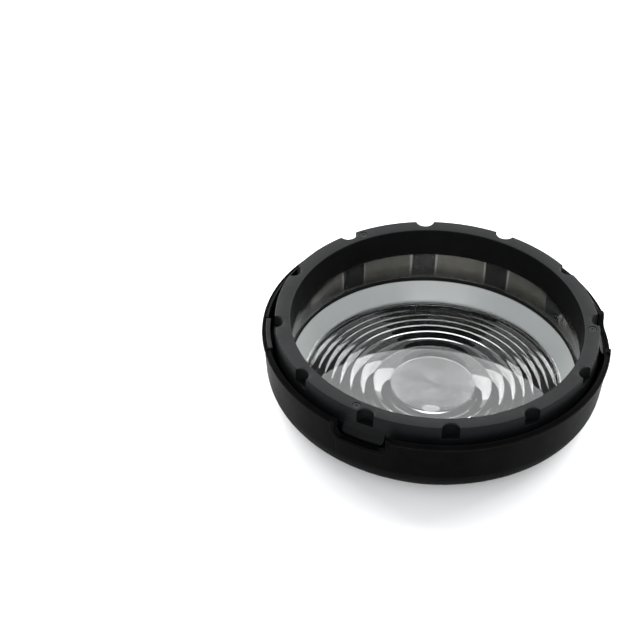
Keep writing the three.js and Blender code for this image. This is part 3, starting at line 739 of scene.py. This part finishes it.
def sheet(name, corners, material):
    """A flat sheet through the corners."""
    mesh = bpy.data.meshes.new(name)
    mesh.from_pydata(corners, [], [tuple(range(len(corners)))])
    mesh.materials.append(material)
    obj = bpy.data.objects.new(name, mesh)
    bpy.context.scene.collection.objects.link(obj)
    return obj


def disc_corners(radius, height, steps, middle=(0.0, 0.0)):
    turns = [math.tau * i / steps for i in range(steps)]
    return [(middle[0] + radius * math.cos(t), middle[1] + radius * math.sin(t), height) for t in turns]


CAMERA_AZIMUTH = -97.48
FLOOR_HALF = 6.0
CARD_RADIUS, CARD_HEIGHT = 0.0373, 0.0004
FLAG_RADIUS, FLAG_HEIGHT, FLAG_OFFSET = 0.65, 1.2, 0.25

pale = Nodes("pale_floor")
pale.set(Base_Color=pale.blend(pale.spread(pale.noise(60.0), 0, 1), (0.9, 0.9, 0.9), (0.88, 0.88, 0.88)))
pale.set(Roughness=pale.spread(pale.noise(2.0), 0.7, 0.8), Specular_IOR_Level=0.1)
floor_corners = [(x * FLOOR_HALF, y * FLOOR_HALF, 0) for x, y in ((-1, -1), (1, -1), (1, 1), (-1, 1))]
floor = sheet("floor", floor_corners, pale.material)

# A black disc on the floor under the lens, inside the base's bore, darkens what is seen through the lens.
black = Nodes("black_card")
tone = black.spread(black.noise(1.0), 0, 1)
black.set(Base_Color=black.blend(tone, (0.003, 0.003, 0.003), (0.006, 0.006, 0.006)))
black.set(Roughness=0.8, Specular_IOR_Level=0.1)
card = sheet("black_card", disc_corners(CARD_RADIUS, CARD_HEIGHT, 96), black.material)

# A flag overhead, toward the camera, keeps the prisms from mirroring the sky.
toward_camera = (math.cos(math.radians(CAMERA_AZIMUTH)), math.sin(math.radians(CAMERA_AZIMUTH)))
flag_middle = tuple(FLAG_OFFSET * c for c in toward_camera)
flag = sheet("flag", disc_corners(FLAG_RADIUS, FLAG_HEIGHT, 48, flag_middle), black.material)

world = bpy.data.worlds.new("studio")
world.use_nodes = True
background = world.node_tree.nodes["Background"]
background.inputs["Color"].default_value = (0.97, 0.985, 1.0, 1)
background.inputs["Strength"].default_value = 1.45
bpy.context.scene.world = world


def softbox(name, azimuth, elevation, distance, width, height, power, shape="RECTANGLE"):
    """A flat lamp round the object, facing it."""
    a, e = math.radians(azimuth), math.radians(elevation)
    offset = Vector((math.cos(a) * math.cos(e), math.sin(a) * math.cos(e), math.sin(e)))
    data = bpy.data.lights.new(name, "AREA")
    data.shape, data.size, data.size_y = shape, width, height
    data.energy = power
    lamp = bpy.data.objects.new(name, data)
    lamp.location = offset * distance
    lamp.rotation_mode = "QUATERNION"
    lamp.rotation_quaternion = (-offset).to_track_quat("-Z", "Y")
    bpy.context.scene.collection.objects.link(lamp)
    return lamp


# Each lamp's azimuth from the camera's, elevation, distance, width, height and power.
softbox("back_window", CAMERA_AZIMUTH + 180, 45, 1.5, 1.6, 1.1, 12)
softbox("back_lamp", CAMERA_AZIMUTH + 180, 41.43, 1.3, 0.013, 0.005, 0.001, shape="ELLIPSE")
for side in (-1, 1):
    softbox("wing_light", CAMERA_AZIMUTH + side * 141, 32, 1.5, 1.15, 0.7, 23)
    softbox("front_light", CAMERA_AZIMUTH + side * 14, 34, 1.6, 0.6, 0.5, 4.2)

bpy.context.scene.view_settings.view_transform = "Standard"

LENS_MM, SENSOR_MM = 168.75, 36.0
ELEVATION, ROLL, DISTANCE = 39.33, 4.53, 0.85617
AIM = Vector((0.0392, -0.000233, 1.0)).normalized()  # how far the object sits off the view's middle
a, e, roll = math.radians(CAMERA_AZIMUTH), math.radians(ELEVATION), math.radians(ROLL)
back = Vector((math.cos(a) * math.cos(e), math.sin(a) * math.cos(e), math.sin(e)))
level_right = Vector((-math.sin(a), math.cos(a), 0))
level_up = level_right.cross(-back)
right = math.cos(roll) * level_right + math.sin(roll) * level_up
up = -math.sin(roll) * level_right + math.cos(roll) * level_up
straight = Matrix((right, up, -back)).transposed()
aimed = Vector((0, 0, 1)).rotation_difference(AIM).to_matrix()
axes = [straight @ aimed[i] for i in range(3)]
camera_data = bpy.data.cameras.new("camera")
camera_data.sensor_width, camera_data.lens = SENSOR_MM, LENS_MM
camera_data.clip_start, camera_data.clip_end = 0.05, 50
camera = bpy.data.objects.new("camera", camera_data)
rotation = Matrix((axes[0], axes[1], -axes[2])).transposed()
camera.matrix_world = Matrix.Translation(back * DISTANCE + Vector((0, 0, HEIGHT * MM))) @ rotation.to_4x4()
bpy.context.scene.collection.objects.link(camera)
bpy.context.scene.camera = camera
